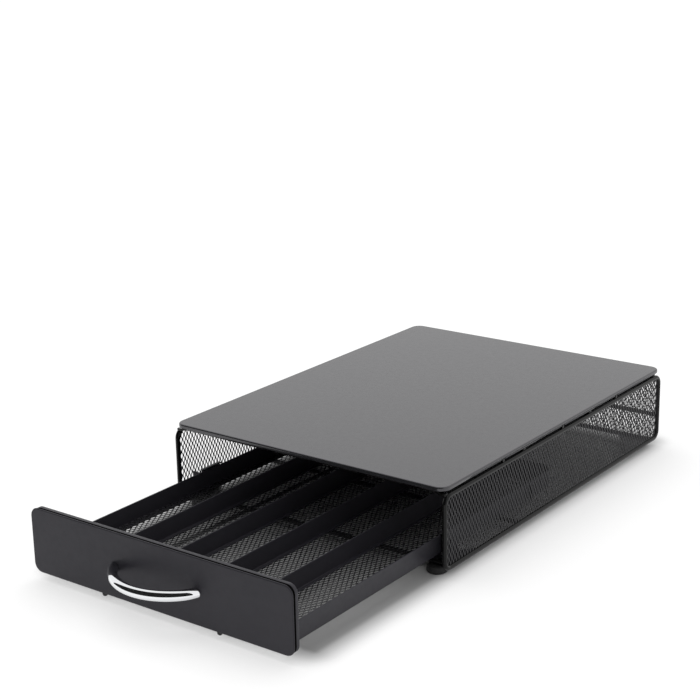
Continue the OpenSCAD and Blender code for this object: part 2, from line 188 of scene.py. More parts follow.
def sweep(path, up, sections, closed=False):
    """Carries sections along a path. A section's first number goes to the path's side and
    its second along up, which is square to the path. One section serves every point."""
    path, up = [Vector(p) for p in path], Vector(up).normalized()
    if not isinstance(sections[0][0], (list, tuple)):
        sections = [sections] * len(path)
    rings = []
    for i, p in enumerate(path):
        before = path[i - 1] if closed or i else p
        after = path[(i + 1) % len(path)] if closed or i + 1 < len(path) else p
        side = up.cross((after - before).normalized()).normalized()
        rings.append([p + side * a + up * b for a, b in sections[i]])
    return loft(rings, closed)


def lathe(profile, centre, axis="Z", n=40):
    """Turns (radius, height) points about a Z or Y axis through centre, from axis to axis."""
    turn = Matrix.Rotation(math.radians(-90 if axis == "Y" else 0), 3, "X")
    centre = Vector(centre)
    inner = profile[1:-1]
    rings = [[centre + turn @ Vector((x, y, h)) for x, y in circle(r, n)] for r, h in inner]
    verts, faces = loft(rings, caps=False)
    for end, ring_start, flip in ((0, 0, True), (-1, (len(inner) - 1) * n, False)):
        verts.append(centre + turn @ Vector((0, 0, profile[end][1])))
        tip = len(verts) - 1
        for i in range(n):
            a, b = ring_start + i, ring_start + (i + 1) % n
            faces.append((b, a, tip) if flip else (a, b, tip))
    return verts, faces


def lying(a, b, c):
    """Lays an outline flat, for prism."""
    return a, b, c


def upright(a, b, c):
    """Stands an outline up, seen from the front, for prism."""
    return a, c, b


def prism(outline, place, start, end):
    """An outline's prism. place(a, b, c) gives the point of outline point (a, b) at depth c."""
    return loft([[place(a, b, start) for a, b in outline], [place(a, b, end) for a, b in outline]])


def block(lo, hi):
    """A box between two corners."""
    outline = [(lo[0], lo[1]), (hi[0], lo[1]), (hi[0], hi[1]), (lo[0], hi[1])]
    return prism(outline, lying, lo[2], hi[2])


def ribbon(path, t):
    """The outline of a sheet t thick, seen on its edge, that follows a path of 2D points."""
    left, right = [], []
    for i, p in enumerate(path):
        a, b = Vector(path[max(i - 1, 0)]), Vector(path[min(i + 1, len(path) - 1)])
        along = (b - a).normalized()
        normal = Vector((-along.y, along.x)) * t / 2
        left.append(tuple(Vector(p) + normal))
        right.append(tuple(Vector(p) - normal))
    return left + right[::-1]


def on_side(side, shape):
    """A shape of the right side as it is, or mirrored for the left."""
    verts, faces = shape
    if side == "right":
        return verts, faces
    return [Vector((-v.x, v.y, v.z)) for v in verts], [tuple(reversed(f)) for f in faces]


def rod(start, end, up, r, flare=None):
    """A straight round rod. flare widens its ends, as a weld does. Without it they are domed."""
    start, end = Vector(start), Vector(end)
    length = (end - start).length
    if flare:
        marks = [(0, flare), (0.5 * r, (1 + flare) / 2), (1.3 * r, 1.0)]
    else:
        marks = [(r * (1 - math.cos(a)), math.sin(a)) for a in (0.15, 0.5, 0.85, 1.2)]
        marks.append((r, 1.0))
    marks += [(length - s, k) for s, k in reversed(marks)]
    path = [start.lerp(end, s / length) for s, k in marks]
    return sweep(path, up, [circle(r * k, WIRE_SIDES) for s, k in marks])


# ------------------------------------------------------------------ expanded mesh
def strand_wave(v):
    """From 1 to -1 and back over one period, level where strands touch."""
    phase = v / MESH_PERIOD % 1
    flat = BOND / MESH_PERIOD / 2
    fall = min(phase, 1 - phase)
    return 1 - 2 * min(max((fall - flat) / (0.5 - 2 * flat), 0), 1)


def strand_marks(v0, v1):
    """Places along a strand where it bends, between v0 and v1."""
    half, flat = MESH_PERIOD / 2, BOND / 2
    marks = [v0]
    for k in range(math.floor(v0 / half), math.ceil(v1 / half) + 1):
        marks += [v for v in (k * half - flat, k * half + flat) if v0 < v < v1]
    return marks + [v1]


def expanded_mesh(u0, u1, span, place, tilt=STRAND_TILT):
    """Strands side by side from u0 to u1. span(u) gives a strand's ends, and place(u, v, w)
    the point at u across the strands, v along them and w out of the sheet."""
    count = round((u1 - u0) / STRAND_PITCH)
    pitch = (u1 - u0) / count
    c, s = math.cos(tilt), math.sin(tilt)
    sway = (pitch - STRAND_W * c + STRAND_BITE) / 2
    lift = -STRAND_W / 2 * s
    corners = []
    for a, b in ((-1, -1), (1, -1), (1, 1), (-1, 1)):
        x, y = a * STRAND_W / 2, b * STRAND_T / 2
        corners.append((x * c - y * s, x * s + y * c))
    shapes = []
    for i in range(count + 1):
        u, sign = u0 + i * pitch, -1 if i % 2 else 1
        rings = []
        for v in strand_marks(*span(u)):
            wave = sign * strand_wave(v)
            rings.append([place(u + sway * wave + a, v, lift * wave + b)
                          for a, b in corners])
        shapes.append(loft(rings))
    return join(*shapes)


# ------------------------------------------------------------------ materials
NOISE_RANGE = (0.3, 0.7)        # where most of a noise's values lie
COOL_TINT = (0.97, 0.955, 1, 1)     # of the coatings' gloss

# Noise scales of each kind of surface, for its colour and its roughness, and its bump's strength
COAT_SCALES, COAT_BUMP = (60, 260), 0.35
METAL_SCALES, METAL_BUMP = (45, 300), 0.3
METAL_GRAIN = 900
METAL_SHADE = 0.94              # how dark the darkest places of bare metal are
RUBBER_SCALES, RUBBER_BUMP = (120, 500), 0.4
RUBBER_GRAIN = 1600


def node_material(name):
    mat = bpy.data.materials.new(name)
    mat.use_nodes = True
    tree = mat.node_tree
    return mat, tree, tree.nodes["Principled BSDF"]


def noise(tree, scale, detail=3.0):
    coords = tree.nodes.new("ShaderNodeTexCoord")
    texture = tree.nodes.new("ShaderNodeTexNoise")
    texture.inputs["Scale"].default_value = scale
    texture.inputs["Detail"].default_value = detail
    texture.inputs["Roughness"].default_value = 0.5
    tree.links.new(coords.outputs["Object"], texture.inputs["Vector"])
    return texture.outputs["Fac"]


def ramp(tree, source, low, high, target):
    """Spreads a 0 to 1 source between two values or colours, into target."""
    if isinstance(low, tuple):
        node = tree.nodes.new("ShaderNodeMix")
        node.data_type = "RGBA"
        node.inputs["A"].default_value = (*low, 1)
        node.inputs["B"].default_value = (*high, 1)
        tree.links.new(source, node.inputs["Factor"])
        tree.links.new(node.outputs["Result"], target)
        return
    node = tree.nodes.new("ShaderNodeMapRange")
    node.inputs["From Min"].default_value = NOISE_RANGE[0]
    node.inputs["From Max"].default_value = NOISE_RANGE[1]
    node.inputs["To Min"].default_value = low
    node.inputs["To Max"].default_value = high
    tree.links.new(source, node.inputs["Value"])
    tree.links.new(node.outputs["Result"], target)


def bump(tree, shader, height, strength, distance):
    """Makes a surface as rough as height says, distance metres deep."""
    node = tree.nodes.new("ShaderNodeBump")
    node.inputs["Strength"].default_value = strength
    node.inputs["Distance"].default_value = distance
    tree.links.new(height, node.inputs["Height"])
    tree.links.new(node.outputs["Normal"], shader.inputs["Normal"])


def mottle(tree, shader, scales, colours, rough):
    """Varies a shader's colour and roughness by noise, between two values each."""
    ramp(tree, noise(tree, scales[0]), *colours, shader.inputs["Base Color"])
    ramp(tree, noise(tree, scales[1]), *rough, shader.inputs["Roughness"])


def coated(name, dark, light, rough, grain, depth, specular):
    """Black coating on steel: faintly mottled, with the fine orange peel of sprayed powder."""
    mat, tree, shader = node_material(name)
    mottle(tree, shader, COAT_SCALES, (dark, light), rough)
    bump(tree, shader, noise(tree, grain, 2.0), COAT_BUMP, depth)
    shader.inputs["Specular IOR Level"].default_value = specular
    return mat


def metal(name, colour, rough, depth=0.0):
    """Bare plated metal. depth gives it a fine grain."""
    mat, tree, shader = node_material(name)
    shader.inputs["Metallic"].default_value = 1
    mottle(tree, shader, METAL_SCALES, (tuple(c * METAL_SHADE for c in colour), colour), rough)
    if depth:
        bump(tree, shader, noise(tree, METAL_GRAIN, 2.0), METAL_BUMP, depth)
    return mat


def rubbery(name, dark, light, rough, depth):
    """Moulded rubber or nylon, matt and finely grained."""
    mat, tree, shader = node_material(name)
    mottle(tree, shader, RUBBER_SCALES, (dark, light), rough)
    bump(tree, shader, noise(tree, RUBBER_GRAIN, 4.0), RUBBER_BUMP, depth)
    return mat


POWDER = coated("powder_coat", (0.021, 0.020, 0.025), (0.026, 0.025, 0.031), (0.36, 0.46),
                grain=1100, depth=0.05 * MM, specular=0.28)
PLATE = coated("plate_coat", (0.015, 0.015, 0.017), (0.019, 0.019, 0.021), (0.22, 0.27),
               grain=1500, depth=0.015 * MM, specular=0.9)
# The wire coat also serves as painted shade on the walls of the panel's groove.
WIRE_AND_GROOVE_SHADE = coated("wire_coat_and_groove_shade", (0.004, 0.004, 0.004), (0.006, 0.006, 0.006), (0.1, 0.16),
              grain=700, depth=0.01 * MM, specular=0.2)
MESH = coated("mesh_coat", (0.010, 0.010, 0.011), (0.016, 0.016, 0.017), (0.22, 0.32),
              grain=700, depth=0.03 * MM, specular=0.45)
for coat in (PLATE, POWDER, MESH):
    shader = coat.node_tree.nodes["Principled BSDF"]
    shader.inputs["Specular Tint"].default_value = COOL_TINT
CHROME = metal("chrome_plate", (0.86, 0.87, 0.89), (0.02, 0.05))
ZINC = metal("zinc_plate", (0.62, 0.62, 0.60), (0.22, 0.38), depth=0.02 * MM)
RUBBER = rubbery("foot_rubber", (0.012, 0.012, 0.012), (0.022, 0.022, 0.022), (0.6, 0.8),
                 depth=0.08 * MM)
NYLON = rubbery("glide_nylon", (0.014, 0.014, 0.015), (0.02, 0.02, 0.021), (0.4, 0.55),
                depth=0.03 * MM)

# ------------------------------------------------------------------ pieces
node_body = {n: body for body, nodes in record["behaviour"]["bodies"].items() for n in nodes}


def piece(node, shape, material, smooth=True, edge=0.0):
    """An object that stands for a CAD node. edge rounds its sharp edges."""
    verts, faces = shape
    mesh = bpy.data.meshes.new(node + "_detail")
    mesh.from_pydata([tuple(v) for v in verts], [], faces)
    mesh.validate()
    mesh.update()
    obj = bpy.data.objects.new(node + "_detail", mesh)
    bpy.context.scene.collection.objects.link(obj)
    mesh.materials.append(material)
    if smooth:
        mesh.shade_smooth()
    if edge:
        rounding = obj.modifiers.new("edge", "BEVEL")
        rounding.width = edge
        rounding.segments = EDGE_STEPS
        rounding.limit_method = "ANGLE"
        rounding.angle_limit = EDGE_ANGLE
        rounding.harden_normals = smooth
    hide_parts(node)
    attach(obj, node_body[node])
    return obj


def carve(obj, cuts):
    """Cuts closed shapes out of an object."""
    for i, (verts, faces) in enumerate(cuts):
        mesh = bpy.data.meshes.new(f"cut_{i}")
        mesh.from_pydata([tuple(v) for v in verts], [], faces)
        tool = bpy.data.objects.new(f"cut_{i}", mesh)
        bpy.context.scene.collection.objects.link(tool)
        cut = obj.modifiers.new(f"cut_{i}", "BOOLEAN")
        cut.object = tool
        cut.operation = "DIFFERENCE"
        cut.solver = "EXACT"
        bpy.context.view_layer.objects.active = obj
        bpy.ops.object.modifier_apply(modifier=cut.name)
        bpy.data.objects.remove(tool)


def paint_groove_shade(panel, y0, y1):
    """Paints shade on the groove's walls, by giving them the darker wire coat."""
    panel.data.materials.append(WIRE_AND_GROOVE_SHADE)
    for face in panel.data.polygons:
        if y0 <= face.center.y <= y1:
            face.material_index = 1


def ring_stack(w, h, r, levels, place):
    """Rings of a round rectangle at (inset, depth) levels, with flat ends."""
    rings = []
    for inset, depth in levels:
        outline = round_rect(w - 2 * inset, h - 2 * inset, r - inset)
        rings.append([place(a, b, depth) for a, b in outline])
    return loft(rings)


# ------------------------------------------------------------------ cabinet
def top_plate():
    """A sheet with a folded rim, notched in front of each spacer."""
    lo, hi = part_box("top_plate")
    mid = (lo + hi) / 2
    small = SMALL_EDGE
    under = hi.z - PLATE_T
    levels = [(PLATE_T + 3 * small, under), (PLATE_T + 2 * small, under)]
    levels.append((PLATE_T, under - 2 * small))
    levels += arc(PLATE_T - RIM_EDGE, lo.z + RIM_EDGE, RIM_EDGE, 0, -180, 12)
    levels += arc(PLATE_EDGE, hi.z - PLATE_EDGE, PLATE_EDGE, 180, 90, 6)
    levels.append((PLATE_EDGE + small, hi.z))
    shape = ring_stack(hi.x - lo.x, hi.y - lo.y, PLATE_R, levels,
                       lambda a, b, c: (mid.x + a, mid.y + b, c))
    plate = piece("top_plate", shape, PLATE)
    cuts = []
    for y in spacer_places():
        cuts.append(block((lo.x - CUT_PAST, y - SPACER_L / 2 - NOTCH_L, lo.z - CUT_PAST),
                          (hi.x + CUT_PAST, y + SPACER_L / 2 + NOTCH_PLAY, lo.z + NOTCH_H)))
    carve(plate, cuts)


def spacer_places():
    """The three places along y where spacers stand."""
    lo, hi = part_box("plate_spacers")
    first, last = lo.y + SPACER_L / 2, hi.y - SPACER_L / 2
    return first, (first + last) / 2, last


def top_bar(node, stretch=1.0):
    """A round bar whose ends are pressed flat. They dip where they reach lower than the bar."""
    lo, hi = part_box(node)
    tab_half_w = (hi.y - lo.y) / 2
    mid_y = (lo.y + hi.y) / 2
    dip = hi.z - lo.z - 2 * BAR_R
    rows = [(hi.x - s * stretch, pressed, k) for s, pressed, k in BAR_MARKS]
    rows += [(-x, pressed, k) for x, pressed, k in reversed(rows)]
    path, sections = [], []
    for x, pressed, k in rows:
        a = (BAR_R + (tab_half_w - BAR_R) * pressed) * k
        b = (BAR_R + (TAB_HALF - BAR_R) * pressed) * k
        path.append((x, mid_y, lo.z + dip * (1 - pressed) + b / k))
        sections.append(squircle(a, b, 2 + 4 * pressed, WIRE_SIDES))
    piece(node, sweep(path, (0, 0, 1), sections), WIRE_AND_GROOVE_SHADE)


def plate_spacers():
    """Small upright tabs between the side frames and the plate, in the rim's notches."""
    lo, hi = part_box("plate_spacers")
    shapes = []
    for x0, x1 in ((hi.x - WIRE_R, hi.x), (lo.x, lo.x + WIRE_R)):
        for y in spacer_places():
            shapes.append(block((x0, y - SPACER_L / 2, lo.z), (x1, y + SPACER_L / 2, hi.z)))
    piece("plate_spacers", join(*shapes), WIRE_AND_GROOVE_SHADE, edge=SMALL_EDGE)


def frame_loop(node):
    """The middle line of a side frame's wire, as (y, z) points, and its x."""
    lo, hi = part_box(node)
    mid = (lo + hi) / 2
    turn = FRAME_R - WIRE_R
    outline = round_rect(hi.y - lo.y - 2 * WIRE_R, hi.z - lo.z - 2 * WIRE_R, turn, 10)
    return mid.x, [(mid.y + a, mid.z + b) for a, b in outline]


def side_frame(side):
    node = side + "_side_frame"
    x, loop = frame_loop(node)
    path = [(x, y, z) for y, z in loop]
    piece(node, sweep(path, (1, 0, 0), circle(WIRE_R, WIRE_SIDES), closed=True), WIRE_AND_GROOVE_SHADE)


def side_mesh(side):
    """Upright strands between a side frame's wires, with a hem behind the top wire."""
    node = side + "_side_mesh"
    lo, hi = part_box("right_side_frame")
    x = (lo.x + hi.x) / 2
    r = FRAME_R - SIDE_INSET
    y0, y1 = lo.y + SIDE_INSET, hi.y - SIDE_INSET
    z0, z1 = lo.z + SIDE_INSET, hi.z - SIDE_INSET

    def span(y):
        past = max(y0 + r - y, y - (y1 - r), 0)
        rise = r - math.sqrt(max(r * r - past * past, 0))
        return z0 + rise, z1 - rise

    hem = block((lo.x - HEM_T, lo.y + FRAME_R, hi.z - 2 * WIRE_R),
                (lo.x + HEM_BITE, hi.y - FRAME_R, hi.z + HEM_UP))
    tilt = RIGHT_TILT if side == "right" else STRAND_TILT
    shape = join(expanded_mesh(y0, y1, span, lambda u, v, w: (x + w, u, v), tilt), hem)
    piece(node, on_side(side, shape), MESH, smooth=False)


def rear_mesh():
    """Strands that run up the back and bend forward, with the side frames, at both ends."""
    lo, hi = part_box("rear_mesh")
    frame_lo, frame_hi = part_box("left_side_frame")
    turn = FRAME_R - WIRE_R
    wall_y = frame_hi.y - WIRE_R
    low_z, high_z = frame_lo.z + WIRE_R, frame_hi.z - WIRE_R
    hem = wall_y - turn - lo.y
    bend = turn * math.pi / 2
    height = high_z - low_z - 2 * turn
    total = 2 * (hem + bend) + height

    def along(v):
        """Point and outward normal at length v from the lower hem's edge, in y and z."""
        if v > total / 2:
            y, z, ny, nz = along(total - v)
            return y, low_z + high_z - z, ny, -nz
        if v < hem:
            return wall_y - turn - hem + v, low_z, 0, -1
        if v < hem + bend:
            a = (v - hem) / turn
            return (wall_y - turn + turn * math.sin(a), low_z + turn - turn * math.cos(a),
                    math.sin(a), -math.cos(a))
        return wall_y, low_z + turn + v - hem - bend, 1, 0

    def place(u, v, w):
        y, z, ny, nz = along(v)
        return u, y + w * ny, z + w * nz

    shape = expanded_mesh(lo.x, hi.x, lambda u: (0, total), place)
    piece("rear_mesh", shape, MESH, smooth=False)


def rail(node):
    """A wire across the cabinet, with a weld fillet at each end."""
    lo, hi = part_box(node)
    mid = (lo + hi) / 2
    start, end = (lo.x, mid.y, mid.z), (hi.x, mid.y, mid.z)
    piece(node, rod(start, end, (0, 0, 1), WIRE_R, WELD_FLARE), WIRE_AND_GROOVE_SHADE)


def gusset(end, side):
    """A flat triangle in a corner of the cabinet's base."""
    node = f"gusset_{end}_{side}"
    lo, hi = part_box(node)
    x0, x1 = (lo.x, hi.x) if side == "right" else (hi.x, lo.x)
    y0, y1 = (lo.y, hi.y) if end == "front" else (hi.y, lo.y)
    outline = [(x1, y0), (x1, y1), (x0, y0)]
    if (x1 > x0) != (y1 > y0):
        outline.reverse()
    piece(node, prism(outline, lying, lo.z, hi.z), POWDER, edge=SMALL_EDGE)


def foot(end, side):
    """A turned rubber foot: a dimple below, round edges and a slight taper."""
    node = f"foot_{end}_{side}"
    lo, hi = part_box(node)
    mid = (lo + hi) / 2
    r, h, e = (hi.x - lo.x) / 2, hi.z - lo.z, FOOT_EDGE
    profile = list(FOOT_DIMPLE) + arc(r - e, e, e, -90, 0, 5)
    profile += arc(r - 1.3 * e, h - e, e, 0, 90, 5)
    profile += [(r - 2 * e, h), (0, h)]
    piece(node, lathe(profile, (mid.x, mid.y, lo.z), n=48), RUBBER)


def guide_bracket(side):
    """A bent sheet: an upright web with a lip over the tray's wall, and a front flange."""
    node = side + "_guide_bracket"
    lo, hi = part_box("right_guide_bracket")
    t, turn = GUIDE_T, GUIDE_TURN
    flange_d, flange_h = GUIDE_FLANGE
    web_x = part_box("right_tray_wall")[1].x + GUIDE_GAP + t / 2
    top_z, bend_y = hi.z - t / 2, lo.y + t / 2
    lip = [(web_x, lo.z)] + arc(web_x - turn, top_z - turn, turn, 0, 90, 5) + [(lo.x, top_z)]
    flange = [(web_x, lo.y + flange_d)] + arc(web_x + turn, bend_y + turn, turn, 180, 270, 5)
    flange.append((hi.x, bend_y))
    shape = join(prism(ribbon(lip, t), upright, hi.y, lo.y + GUIDE_STEP),
                 prism(ribbon(flange, t), lying, lo.z, lo.z + flange_h))
    piece(node, on_side(side, shape), POWDER, edge=GUIDE_EDGE)


def guide_rivets():
    """Domed rivets on the front flanges."""
    lo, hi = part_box("guide_rivets")
    r, h = (hi.z - lo.z) / 2, RIVET_HEAD
    profile = [(0, RIVET_TAIL), (0.9 * r, RIVET_TAIL), (r, 0.15 * MM)]
    profile += [(r * math.cos(a), -h * math.sin(a)) for a in (0.1, 0.4, 0.7, 1.0, 1.3)]
    profile.append((0, -h))
    y, z = lo.y + h, (lo.z + hi.z) / 2
    rivets = [lathe(profile, (x, y, z), "Y", 24) for x in (lo.x + r, hi.x - r)]
    piece("guide_rivets", join(*rivets), ZINC)


# ------------------------------------------------------------------ drawer
def front_skin():
    """The panel's front sheet, with half of the groove behind its edge."""
    lo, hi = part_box("drawer_front_skin")
    mid = (lo + hi) / 2
    e, small = SKIN_EDGE, SMALL_EDGE
    levels = [(e + small, lo.y)] + arc(e, lo.y + e, e, -90, -180, 6)
    levels += arc(GROOVE_EDGE, hi.y - GROOVE_W - GROOVE_EDGE, GROOVE_EDGE, 180, 90, 3)
    levels += [(GROOVE_D, hi.y - GROOVE_W), (GROOVE_D, hi.y)]
    shape = ring_stack(hi.x - lo.x, hi.z - lo.z, PANEL_R, levels,
                       lambda a, b, c: (mid.x + a, c, mid.z + b))
    skin = piece("drawer_front_skin", shape, POWDER)
    # Painted shade: the groove's walls get the darker wire coat.
    paint_groove_shade(skin, hi.y - GROOVE_SHADE_REACH, hi.y)


def front_pan():
    """A shallow pan behind the skin, with the other half of the groove."""
    lo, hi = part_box("drawer_front_pan")
    mid = (lo + hi) / 2
    t, small = PAN_T, SMALL_EDGE
    levels = [(GROOVE_D, lo.y), (GROOVE_D, lo.y + GROOVE_W)]
    levels += arc(GROOVE_EDGE, lo.y + GROOVE_W + GROOVE_EDGE, GROOVE_EDGE, -90, -180, 3)
    levels += arc(small, hi.y - small, small, 180, 90, 3)
    levels += arc(t - small, hi.y - small, small, 90, 0, 3)
    levels += [(t, lo.y + t + 2 * small), (t + 2 * small, lo.y + t), (t + 3 * small, lo.y + t)]
    shape = ring_stack(hi.x - lo.x, hi.z - lo.z, PAN_R, levels,
                       lambda a, b, c: (mid.x + a, c, mid.z + b))
    pan = piece("drawer_front_pan", shape, POWDER)
    # Painted shade: the groove's walls get the darker wire coat.
    paint_groove_shade(pan, lo.y, lo.y + GROOVE_SHADE_REACH)


def bow_handle():
    """A bowed round bar, whose ends are cut off flat and go a little into the panel."""
    lo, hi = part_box("handle")
    r = (hi.z - lo.z) / 2
    z = (lo.z + hi.z) / 2
    bow = hi.y - lo.y - r
    turn = (HANDLE_HALF ** 2 + bow ** 2) / (2 * bow)
    centre_y = lo.y + r + turn
    depth = centre_y - hi.y - HANDLE_SINK
    rings = []
    for i in range(-HANDLE_STEPS, HANDLE_STEPS + 1):
        ring = []
        for a, b in circle(r, HANDLE_STEPS):
            reach = turn - a
            angle = math.acos(depth / reach) * i / HANDLE_STEPS
            ring.append((reach * math.sin(angle), centre_y - reach * math.cos(angle), z + b))
        rings.append(ring)
    piece("handle", loft(rings), CHROME)


def handle_screws():
    """Pan heads with a cross recess, behind the panel."""
    lo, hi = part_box("handle_screws")
    r, h = (hi.z - lo.z) / 2, SCREW_HEAD
    y, z = hi.y - h, (lo.z + hi.z) / 2
    profile = [(0, -SCREW_L), (SCREW_R, -SCREW_L), (SCREW_R, -0.05 * MM), (r, 0), (r, 0.35 * h)]
    profile += [(r * math.cos(a), h * (0.35 + 0.65 * math.sin(a))) for a in (0.3, 0.6, 0.9, 1.2)]
    profile.append((0, h))
    screws, cuts = [], []
    for x in (lo.x + r, hi.x - r):
        screws.append(lathe(profile, (x, y, z), "Y", 32))
        for across, tall in (CROSS_HALF, CROSS_HALF[::-1]):
            cuts.append(block((x - across, y + CROSS_FLOOR, z - tall),
                              (x + across, y + 2 * h, z + tall)))
    carve(piece("handle_screws", join(*screws), ZINC), cuts)


def tray_wall(side):
    """An upright sheet whose foot turns in under the mesh floor."""
    node = side + "_tray_wall"
    lo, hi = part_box("right_tray_wall")
    t, turn = WALL_T, WALL_TURN
    x, z = hi.x - t / 2, lo.z - WALL_DROP
    path = [(x - WALL_FLANGE, z)] + arc(x - turn, z + turn, turn, -90, 0, 5)
    path.append((x, hi.z - t / 2))
    shape = prism(ribbon(path, t), upright, hi.y, lo.y)
    piece(node, on_side(side, shape), POWDER, edge=WALL_EDGE)


def tray_rear_wall():
    """An upright sheet with round upper corners."""
    lo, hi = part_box("tray_rear_wall")
    r = REAR_WALL_R
    outline = [(lo.x, lo.z), (hi.x, lo.z)]
    outline += arc(hi.x - r, hi.z - r, r, 0, 90, 6) + arc(lo.x + r, hi.z - r, r, 90, 180, 6)
    piece("tray_rear_wall", prism(outline, upright, hi.y, lo.y), POWDER, edge=WALL_EDGE)


def tray_floor():
    """Strands that run the length of the tray, over the walls' flanges."""
    lo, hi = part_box("tray_floor")
    z = hi.z - FLOOR_DROP
    shape = expanded_mesh(lo.x, hi.x, lambda u: (lo.y, hi.y), lambda u, v, w: (u, v, z + w))
    piece("tray_floor", shape, MESH, smooth=False)


def divider(node):
    """An upright sheet with a narrow foot on the mesh floor."""
    lo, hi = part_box(node)
    t, turn = DIVIDER_T, DIVIDER_TURN
    x, z = (lo.x + hi.x) / 2, lo.z + t / 2
    path = [(x + DIVIDER_FLANGE, z)] + arc(x + turn, z + turn, turn, 270, 180, 5) + [(x, hi.z)]
    piece(node, prism(ribbon(path, t), upright, lo.y, hi.y), POWDER, edge=SMALL_EDGE)


def runner_wire(side):
    """A wire under the tray, on which it slides."""
    node = side + "_runner_wire"
    lo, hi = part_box(node)
    mid = (lo + hi) / 2
    start, end = (mid.x, lo.y, mid.z), (mid.x, hi.y, mid.z)
    piece(node, rod(start, end, (0, 0, 1), (hi.x - lo.x) / 2), WIRE_AND_GROOVE_SHADE)


def glide_buttons():
    """Round-ended buttons with a collar, pressed into the pan's lower edge."""
    lo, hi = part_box("glide_buttons")
    r, h = (hi.y - lo.y) / 2, hi.z - lo.z
    profile = [(0, 0)] + arc(0, r, r, -75, 0, 6)
    profile += [(r, 0.6 * h), (0.8 * r, 0.65 * h), (0.8 * r, h), (0, h)]
    y = (lo.y + hi.y) / 2
    shapes = [lathe(profile, (x, y, lo.z), n=32) for x in (lo.x + r, hi.x - r)]
    piece("glide_buttons", join(*shapes), NYLON)


def stop_tab(side):
    """A small tab on a tray wall that stops the drawer at full travel."""
    node = side + "_stop_tab"
    piece(node, block(*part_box(node)), POWDER, edge=SMALL_EDGE)


top_plate()
for number in range(1, 5):
    top_bar(f"top_bar_{number}", FRONT_STRETCH if number == 1 else 1.0)
    divider(f"divider_{number}")
plate_spacers()
rear_mesh()
for node in ("rear_top_rail", "rear_mid_rail", "rear_bottom_rail", "front_bottom_rail",
             "mid_bottom_bar"):
    rail(node)
for side in ("left", "right"):
    side_frame(side)
    side_mesh(side)
    guide_bracket(side)
    tray_wall(side)
    runner_wire(side)
    stop_tab(side)
    for end in ("front", "rear"):
        gusset(end, side)
        foot(end, side)
guide_rivets()
front_skin()
front_pan()
bow_handle()
handle_screws()
tray_rear_wall()
tray_floor()
glide_buttons()


# ------------------------------------------------------------------ stage, light and camera
FILL = 0.7                      # even light from the world
SUN_POWER = 1.0
SUN_SPREAD = 70                 # degrees across
SUN_FROM = (-0.35, 0.25, 0.9)
TABLE_HALF = 40                 # half the table's size
TABLE = 0.92                    # how white the table is in the light that it throws back
TABLE_SEEN = 0.62               # and in view and in gloss
TABLE_PAINTED_SHADE = 0.42              # and there, but under the object: a painted shade
TABLE_LIFT = 0.47               # what lifts it to white there, away from the object; left out near the object, as painted shade
FOOTPRINT = (0.109, 0.225)      # half the size of the object's footprint, along x and y, where the table's shade is painted
FOOTPRINT_Y = 0.024             # the footprint's middle
UNDER_REACH = (0.0, 0.006)      # distance from it over which the painted shade under the object gives way
LIFT_REACH = (0.0, 0.024)       # distance from it over which TABLE_LIFT sets in; nearer, its lack is painted shade
CARD_Y = -0.75                  # where the dark card stands, ahead of the object
CARD_X = (-2.4, 1.3)            # from its left end to its right
CARD_TOP = 3.0
CARD_TONE = (0.02, 0.02, 0.02, 1)
CAMERA_ANGLES = (36.767, 16.629, -1.086)        # azimuth, elevation and roll, in degrees
CAMERA_PLACE = (0.65203, -0.81280, 0.45245)     # y counts from the front edge of the plate
LENS = 81.161                   # mm, for a sensor as wide as SENSOR
SENSOR = 36


def add(tree, kind, **values):
    """A new shader node, with its inputs set by name, where _ stands for a space."""
    node = tree.nodes.new("ShaderNode" + kind)
    for name, value in values.items():
        node.inputs[name.replace("_", " ")].default_value = value
    return node


def smooth_step(tree, source, start, end):
    """0 up to start and 1 from end on."""
    node = add(tree, "MapRange", From_Min=start, From_Max=end)
    node.interpolation_type = "SMOOTHSTEP"
    tree.links.new(source, node.inputs["Value"])
    return node.outputs["Result"]


def maths(tree, operation, *sources):
    """The result of a Math node whose inputs are sockets or numbers."""
    node = tree.nodes.new("ShaderNodeMath")
    node.operation = operation
    for socket, source in zip(node.inputs, sources):
        if isinstance(source, (int, float)):
            socket.default_value = source
        else:
            tree.links.new(source, socket)
    return node.outputs[0]


def in_sight(tree):
    """1 for the rays that show the white background: the camera's, gloss and glass."""
    path = tree.nodes.new("ShaderNodeLightPath")
    seen = path.outputs["Is Camera Ray"]
    for ray in ("Is Glossy Ray", "Is Transmission Ray"):
        seen = maths(tree, "MAXIMUM", seen, path.outputs[ray])
    return seen


def footprint_distance(tree, x, y):
    """How far a place is from the rectangle that the object covers."""
    across = maths(tree, "SUBTRACT", maths(tree, "ABSOLUTE", x), FOOTPRINT[0])
    along = maths(tree, "ABSOLUTE", maths(tree, "SUBTRACT", y, FOOTPRINT_Y))
    along = maths(tree, "SUBTRACT", along, FOOTPRINT[1])
    squares = []
    for distance in (across, along):
        outside = maths(tree, "MAXIMUM", distance, 0)
        squares.append(maths(tree, "MULTIPLY", outside, outside))
    return maths(tree, "SQRT", maths(tree, "ADD", *squares))


def matt_sheet(name, corners, coat):
    """A flat sheet, its matt material's tree and its shader."""
    mesh = bpy.data.meshes.new(name)
    mesh.from_pydata(corners, [], [(0, 1, 2, 3)])
    obj = bpy.data.objects.new(name, mesh)
    bpy.context.scene.collection.objects.link(obj)
    mat, tree, shader = node_material(coat)
    shader.inputs["Roughness"].default_value = 1.0
    shader.inputs["Specular IOR Level"].default_value = 0.0
    mesh.materials.append(mat)
    return obj, tree, shader


